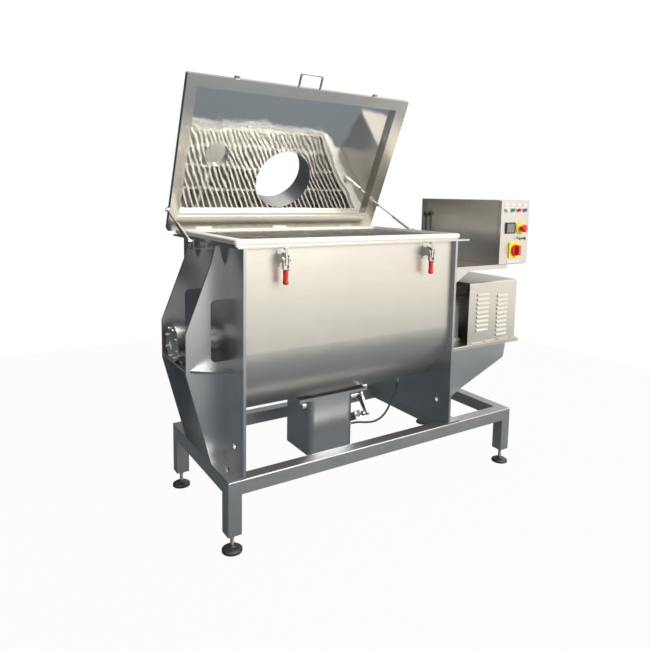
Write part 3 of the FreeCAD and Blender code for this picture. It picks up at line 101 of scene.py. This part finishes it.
class Finish:
    """A material and the nodes that give it colour, gloss and relief."""

    def __init__(self, name, metallic=1.0, coat=0.0):
        self.material = bpy.data.materials.new(name)
        self.material.use_nodes = True
        self.tree = self.material.node_tree
        self.shader = self.tree.nodes["Principled BSDF"]
        self.shader.inputs["Metallic"].default_value = metallic
        self.shader.inputs["Coat Weight"].default_value = coat
        place = self.node("ShaderNodeTexCoord", {})
        self.place = Wire(self.tree, place.socket.node.outputs["Object"])
        split = self.node("ShaderNodeSeparateXYZ", {}, self.place)
        self.x, self.y, self.z = [Wire(self.tree, o) for o in split.socket.node.outputs]

    @staticmethod
    def add(tree, kind, settings, *values):
        node = tree.nodes.new(kind)
        for key, value in settings.items():
            if key == "stops":
                ramp = node.color_ramp
                while len(ramp.elements) < len(value):
                    ramp.elements.new(0.5)
                for element, (at, colour) in zip(ramp.elements, value):
                    element.position, element.color = at, (*colour, 1.0)
            else:
                setattr(node, key, value)
        sockets = [s for s in node.inputs if s.enabled]
        for socket, value in zip(sockets, values):
            if isinstance(value, Wire):
                tree.links.new(value.socket, socket)
            elif value is not None:
                socket.default_value = value
        return Wire(tree, [o for o in node.outputs if o.enabled][0])

    def node(self, kind, settings, *values):
        return Finish.add(self.tree, kind, settings, *values)

    def stretched(self, sx, sy, sz):
        """Object place with each axis scaled, for a grain along the small one."""
        return self.node("ShaderNodeVectorMath", {"operation": "MULTIPLY"}, self.place,
                         (sx, sy, sz))

    def noise(self, place, scale, detail=3.0, rough=0.5):
        wire = self.node("ShaderNodeTexNoise", {"noise_dimensions": "3D"}, place, scale, detail,
                         rough)
        return wire

    def mix(self, factor, first, second):
        """Colour between two colours or colour links."""
        node = self.tree.nodes.new("ShaderNodeMix")
        node.data_type = "RGBA"
        for socket, value in zip((node.inputs[0], node.inputs[6], node.inputs[7]),
                                 (factor, first, second)):
            if isinstance(value, Wire):
                self.tree.links.new(value.socket, socket)
            else:
                socket.default_value = value if isinstance(value, float) else (*value, 1.0)
        return Wire(self.tree, node.outputs[2])

    def set(self, socket, value):
        if isinstance(value, Wire):
            self.tree.links.new(value.socket, self.shader.inputs[socket])
        elif isinstance(value, tuple):
            self.shader.inputs[socket].default_value = (*value, 1.0)
        else:
            self.shader.inputs[socket].default_value = value

    def relief(self, height, strength, depth):
        bump = self.tree.nodes.new("ShaderNodeBump")
        bump.inputs["Strength"].default_value = strength
        bump.inputs["Distance"].default_value = depth
        self.tree.links.new(height.socket, bump.inputs["Height"])
        self.tree.links.new(bump.outputs["Normal"], self.shader.inputs["Normal"])

    def on(self, *nodes):
        for name in nodes:
            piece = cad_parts[name] if isinstance(name, str) else name
            piece.data.materials.clear()
            piece.data.materials.append(self.material)


def brushed_sheet(name, light, dark, grain, gloss, cloud=0.35):
    """Stainless sheet with a ground grain along one axis and soft clouding."""
    f = Finish(name)
    lines = f.noise(f.stretched(*grain), 1.0, 4.0, 0.65)
    clouds = f.noise(f.place, 3.2, 3.0, 0.5)
    smear = f.noise(f.place, 11.0, 4.0, 0.6)
    f.set("Base Color", f.mix((lines * 0.6 + clouds * cloud + smear * 0.15 - 0.2).clip(),
                              dark, light))
    f.set("Roughness", (lines * 0.16 + smear * 0.10 + (gloss - 0.12)).clip())
    f.relief(lines, 0.18, 0.0004)
    return f


ALONG = (9.0, 900.0, 900.0)
tube_light, tube_dark = (0.66, 0.66, 0.65), (0.47, 0.48, 0.49)
brushed_sheet("frame_tube", tube_light, tube_dark, ALONG, 0.40, 0.5).on("base_frame")


# Levelling feet
# Pressed pads in dark zinc-grey on bright threaded stems.
foot = Finish("foot_finish", metallic=0.8)
scuff = foot.noise(foot.place, 60.0, 4.0, 0.6)
pad_top, thread_turns = 0.027, 3140.0
stem = foot.z > pad_top
foot.set("Base Color", foot.mix(stem, (0.10, 0.11, 0.115), (0.55, 0.55, 0.54)))
foot.set("Roughness", scuff * 0.3 + 0.28)
thread = foot.node("ShaderNodeMath", {"operation": "SINE"}, foot.z * thread_turns)
foot.relief(thread * stem * 0.4 + scuff * 0.2, 0.5, 0.0008)
foot.on("levelling_feet")


# Trough, end plates and folded sheet work
# Brushed stainless sheet, 3 to 12 mm thick, bent or welded and ground along
# the seams.  The grain runs one way on each sheet; handling leaves it cloudy.
UPRIGHT = (900.0, 900.0, 9.0)
warm, warm_dark = (0.86, 0.83, 0.78), (0.66, 0.64, 0.60)
# The cool pair of tones is a darker, bluer copy of the warm sheet steel: painted shade that
# darkens the end plates, gussets, bearing shelf and chute.
shaded_steel, shaded_steel_dark = (0.70, 0.71, 0.72), (0.50, 0.52, 0.54)
brushed_sheet("trough_sheet", warm, warm_dark, ALONG, 0.34).on("trough_shell")
brushed_sheet("plate_sheet", shaded_steel, shaded_steel_dark, UPRIGHT, 0.30).on(
    "end_plate_left", "end_plate_right", "left_gussets", "right_gussets", "bearing_shelf")
brushed_sheet("folded_sheet", warm, warm_dark, UPRIGHT, 0.30).on(
    "motor_tray", "motor_cover", "box_bracket", "control_box", "control_door")
brushed_sheet("rim_sheet", warm, warm_dark, ALONG, 0.26).on(
    "trough_rim", "rim_brackets", "safety_grid")
brushed_sheet("chute_sheet", shaded_steel, shaded_steel_dark, UPRIGHT, 0.32).on(
    "chute", "discharge_flange", "discharge_flap", "flap_lever")


# Turned parts
# Bearing housing, cap, seals, struts, cylinder and fixings: lathe-turned or
# drawn steel with fine rings and a higher gloss than the sheet.
RINGS = (700.0, 60.0, 60.0)
turned = brushed_sheet("turned_steel", (0.80, 0.79, 0.77), (0.58, 0.58, 0.58), RINGS, 0.22)
turned.on("bearing_housing", "bearing_cap", "shaft_seals", "air_cylinder_rod",
          "strut_rod_left", "strut_rod_right", "strut_tube_left", "strut_tube_right",
          "hex_bolts", "cover_screws", "key_switch", "air_fittings", "air_cylinder",
          "latch_bases", "latch_bail_left", "latch_bail_right", "lid_fittings")


# Agitator
# Flat bar rolled into two pairs of helical ribbons on round spokes, welded
# to a solid shaft and polished all over for washing down.
EVEN = (300.0, 300.0, 300.0)
ribbon_light, ribbon_dark = (0.74, 0.73, 0.71), (0.52, 0.52, 0.52)
brushed_sheet("agitator_steel", ribbon_light, ribbon_dark, EVEN, 0.25).on(
    "agitator_shaft", "agitator_arms", "outer_ribbons", "inner_ribbons")


# Drive
# Cast gearbox and finned motor in one coat of light machine paint, with the
# casting's orange-peel showing through.
paint = Finish("drive_paint", metallic=0.0, coat=0.15)
peel = paint.noise(paint.place, 90.0, 3.0, 0.55)
grime = paint.noise(paint.place, 6.0, 4.0, 0.6)
paint.set("Base Color", paint.mix((grime * 1.2 - 0.2).clip(), (0.50, 0.50, 0.48),
                                  (0.68, 0.67, 0.64)))
paint.set("Roughness", grime * 0.25 + 0.3)
paint.relief(peel, 0.2, 0.0008)
paint.on("gearbox", "drive_motor")


# Rim seal
# White food-grade silicone moulding pressed over the rim of the trough, a
# little mottled by the powder that has rubbed into it.
seal = Finish("white_silicone", metallic=0.0)
dust = seal.noise(seal.place, 26.0, 5.0, 0.6)
seal.set("Base Color", seal.mix((dust * 0.9 - 0.1).clip(), (0.80, 0.79, 0.77),
                                (0.93, 0.925, 0.91)))
seal.set("Roughness", dust * 0.2 + 0.38)
seal.relief(dust, 0.15, 0.001)
seal.on("rim_seal")


# Lid
# One recessed sheet panel, polished to a mirror, inside a satin border box.
# The thin panel is slightly wavy, so what it mirrors bends and wanders.
lid_open = math.radians(65.1)
recess = 0.0285
lid_normal = (0.0, math.sin(lid_open), math.cos(lid_open))
mirror = Finish("lid_polish")
waves = mirror.noise(mirror.place, 4.5, 1.0, 0.3)
ripples = mirror.noise(mirror.place, 17.0, 2.0, 0.4)
grain = mirror.noise(mirror.stretched(9.0, 700.0, 700.0), 1.0, 3.0, 0.6)
depth = mirror.node("ShaderNodeVectorMath", {"operation": "DOT_PRODUCT"}, mirror.place,
                    lid_normal)
depth = Wire(mirror.tree, depth.socket.node.outputs["Value"])
edge_y, edge_z = 0.363176, 1.256
zero = edge_y * lid_normal[1] + edge_z * lid_normal[2]
panel = depth > zero + recess
mirror.set("Base Color", mirror.mix(panel, (0.84, 0.81, 0.76), (0.80, 0.80, 0.79)))
mirror.set("Roughness", (grain * 0.14 + 0.16) * (1.0 - panel) + panel * 0.035)
mirror.relief(waves * panel + ripples * 0.10 * panel + grain * 0.01, 0.30, 0.014)
mirror.on("lid_pan")
bright = brushed_sheet("collar_polish", (0.82, 0.81, 0.80), (0.66, 0.66, 0.66),
                       (60.0, 60.0, 500.0), 0.16)
bright.on("lid_collar", "port_collar", "port_cap")


# Toggle latches
# Plated cheeks with a moulded red grip whose ends are darker.
grip = Finish("latch_grip", metallic=0.0)
grip_mid, grip_half, grip_top = 1.115, 0.023, 1.1462
ends = abs(grip.z - grip_mid) > grip_half
red = grip.z < grip_top
speck = grip.noise(grip.place, 140.0, 3.0, 0.6)
grip.set("Base Color", grip.mix(red, (0.62, 0.61, 0.59), grip.mix(
    ends, (0.72, 0.035, 0.02), (0.30, 0.012, 0.010))))
grip.set("Metallic", 1.0 - red)
grip.set("Roughness", speck * 0.15 + 0.27)
grip.relief(speck, 0.1, 0.0004)
grip.on("latch_handle_left", "latch_handle_right")


# Control panel
# Bezels and blank label plates in bright metal, a black framed meter, and
# yellow plates behind the emergency stop and the rotary switch.
plates = Finish("panel_finish", metallic=0.0)
panel_shift = -0.841495


def within(f, x0, x1, z0, z1):
    """1 inside a rectangle of the panel, 0 outside it."""
    return ((f.x > x0 / 1000 + panel_shift) * (f.x < x1 / 1000 + panel_shift)
            * (f.z > z0 / 1000) * (f.z < z1 / 1000))


switch_plate = within(plates, 1525, 1620, 1130, 1226)
stop_plate = within(plates, 1576, 1650, 1251, 1327)
yellow = (switch_plate + stop_plate).clip()
meter = within(plates, 1495, 1572, 1260, 1323)
screen = within(plates, 1505, 1562, 1269, 1314)
wear = plates.noise(plates.place, 120.0, 4.0, 0.6)
plates.set("Base Color", plates.mix(
    yellow, plates.mix(meter, (0.78, 0.78, 0.77), plates.mix(
        screen, (0.035, 0.035, 0.04), (0.20, 0.21, 0.20))), (0.90, 0.72, 0.04)))
plates.set("Metallic", (1.0 - yellow) * (1.0 - meter) * 0.85)
plates.set("Roughness", wear * 0.15 + 0.28)
plates.relief(wear, 0.08, 0.0003)
plates.on("panel_plates")


def moulded(name, colour, dark, *nodes):
    """Moulded plastic with a faint mottle and a fine skin texture."""
    f = Finish(name, metallic=0.0, coat=0.2)
    mottle = f.noise(f.place, 70.0, 3.0, 0.5)
    skin = f.noise(f.place, 900.0, 2.0, 0.5)
    f.set("Base Color", f.mix(mottle, dark, colour))
    f.set("Roughness", mottle * 0.15 + 0.24)
    f.relief(skin, 0.08, 0.0002)
    f.on(*nodes)


moulded("button_white", (0.92, 0.92, 0.90), (0.80, 0.80, 0.78), "button_white")
moulded("button_green", (0.03, 0.42, 0.16), (0.02, 0.30, 0.11), "button_green")
moulded("button_red", (0.80, 0.04, 0.03), (0.60, 0.02, 0.02), "button_red", "estop_button",
        "main_switch_knob")
moulded("button_blue", (0.05, 0.18, 0.62), (0.03, 0.12, 0.45), "button_blue")


# Air hose and control cable
# Black rubber-covered lines of 10 mm and 9 mm: the hose joins the chute valve
# fitting to one under the trough, the cable drops from the box to the plate.
moulded("black_rubber", (0.035, 0.035, 0.037), (0.018, 0.018, 0.02), "cable_gland")


def line(name, points, radius, node):
    """A round line on one smooth curve, standing for its solid."""
    data = bpy.data.curves.new(name, "CURVE")
    data.dimensions, data.bevel_depth, data.bevel_resolution = "3D", radius, 5
    data.resolution_u, data.use_fill_caps = 10, True
    spline = data.splines.new("NURBS")
    spline.points.add(len(points) - 1)
    for point, (x, y, z) in zip(spline.points, points):
        point.co = ((x - 841.495) / 1000, (y - 394.824) / 1000, z / 1000, 1.0)
    spline.order_u, spline.use_endpoint_u = 3, True
    piece = bpy.data.objects.new(name, data)
    bpy.context.collection.objects.link(piece)
    data.materials.append(bpy.data.materials["black_rubber"])
    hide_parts(node)
    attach(piece, "frame")
    return piece


shaft_z, trough_outer, fitting_aside, fitting_drop = 808, 322, 101, 18
hose_end = shaft_z - math.sqrt(trough_outer ** 2 - fitting_aside ** 2) - fitting_drop
line("hose_line", [(774, 272, 300), (816, 272, 300), (864, 262, 291), (910, 250, 290),
                   (952, 241, 308), (984, 238, 343), (1008, 239, 384), (1036, 241, 416),
                   (1050, 243, hose_end - 34), (1050, 243, hose_end)], 0.005, "air_hose")
line("cable_line", [(1442, 500, 1328), (1442, 500, 1248), (1436, 500, 1160), (1404, 500, 1092),
                    (1340, 500, 1060), (1268, 500, 1056), (1199, 500, 1056)], 0.0045,
     "control_cable")


# Studio
# A plain pale floor, a surround that is bright at the front right and dark at
# the back left for the steel to mirror, and two large soft lights.
bpy.ops.object.select_all(action="DESELECT")
bpy.ops.mesh.primitive_plane_add(size=6.4, location=(0, 0, 0))
floor = bpy.context.object
floor.name = "floor"
ground = bpy.data.materials.new("floor_white")
ground.use_nodes = True
tree = ground.node_tree
# The floor's own colour is a dark blue-grey that the camera barely sees: painted shade,
# mirrored in the undersides of the steel.
tree.nodes["Principled BSDF"].inputs["Base Color"].default_value = (0.15, 0.18, 0.21, 1.0)
tree.nodes["Principled BSDF"].inputs["Roughness"].default_value = 0.9
glow = tree.nodes.new("ShaderNodeEmission")
glow.inputs["Strength"].default_value = 1.0
path = tree.nodes.new("ShaderNodeLightPath")
blend = tree.nodes.new("ShaderNodeMixShader")
share = Finish.add(tree, "ShaderNodeMath", {"operation": "MULTIPLY"},
                   Wire(tree, path.outputs["Is Camera Ray"]), 0.97)
tree.links.new(share.socket, blend.inputs[0])
tree.links.new(tree.nodes["Principled BSDF"].outputs[0], blend.inputs[1])
tree.links.new(glow.outputs[0], blend.inputs[2])
tree.links.new(blend.outputs[0], tree.nodes["Material Output"].inputs[0])
floor.data.materials.append(ground)

world = bpy.data.worlds.new("surround")
bpy.context.scene.world = world
world.use_nodes = True
tree = world.node_tree
back = tree.nodes["Background"]
spot = Finish.add(tree, "ShaderNodeTexCoord", {})
split = Finish.add(tree, "ShaderNodeSeparateXYZ", {}, spot)
side = Wire(tree, split.socket.node.outputs[0])
away = Wire(tree, split.socket.node.outputs[1])
lift = Wire(tree, split.socket.node.outputs[2])
level = (side * 0.45 - away * 0.40 + lift * 0.35 + 0.42).clip()
lamp = Finish.add(tree, "ShaderNodeValToRGB",
                  {"stops": [(0.0, (0.06, 0.065, 0.07)), (0.35, (0.17, 0.185, 0.20)),
                             (0.72, (0.84, 0.81, 0.755)), (1.0, (1.12, 1.07, 0.98))]}, level)
sees = tree.nodes.new("ShaderNodeLightPath")
choice = tree.nodes.new("ShaderNodeMix")
choice.data_type = "RGBA"
tree.links.new(sees.outputs["Is Camera Ray"], choice.inputs[0])
tree.links.new(lamp.socket, choice.inputs[6])
choice.inputs[7].default_value = (1.0, 1.0, 1.0, 1.0)
tree.links.new(choice.outputs[2], back.inputs[0])


def soft_light(name, place, aim, size, watts, colour):
    data = bpy.data.lights.new(name, "AREA")
    data.shape, data.size, data.energy, data.color = "SQUARE", size, watts, colour
    piece = bpy.data.objects.new(name, data)
    bpy.context.collection.objects.link(piece)
    piece.location = place
    piece.rotation_euler = (Vector(aim) - Vector(place)).to_track_quat("-Z", "Y").to_euler()
    return piece


soft_light("key_light", (1.6, -4.6, 3.4), (0.0, 0.0, 0.9), 3.0, 190.0, (1.0, 0.97, 0.92))
soft_light("top_light", (0.0, 0.4, 4.6), (0.0, 0.0, 1.0), 2.6, 45.0, (1.0, 0.99, 0.97))
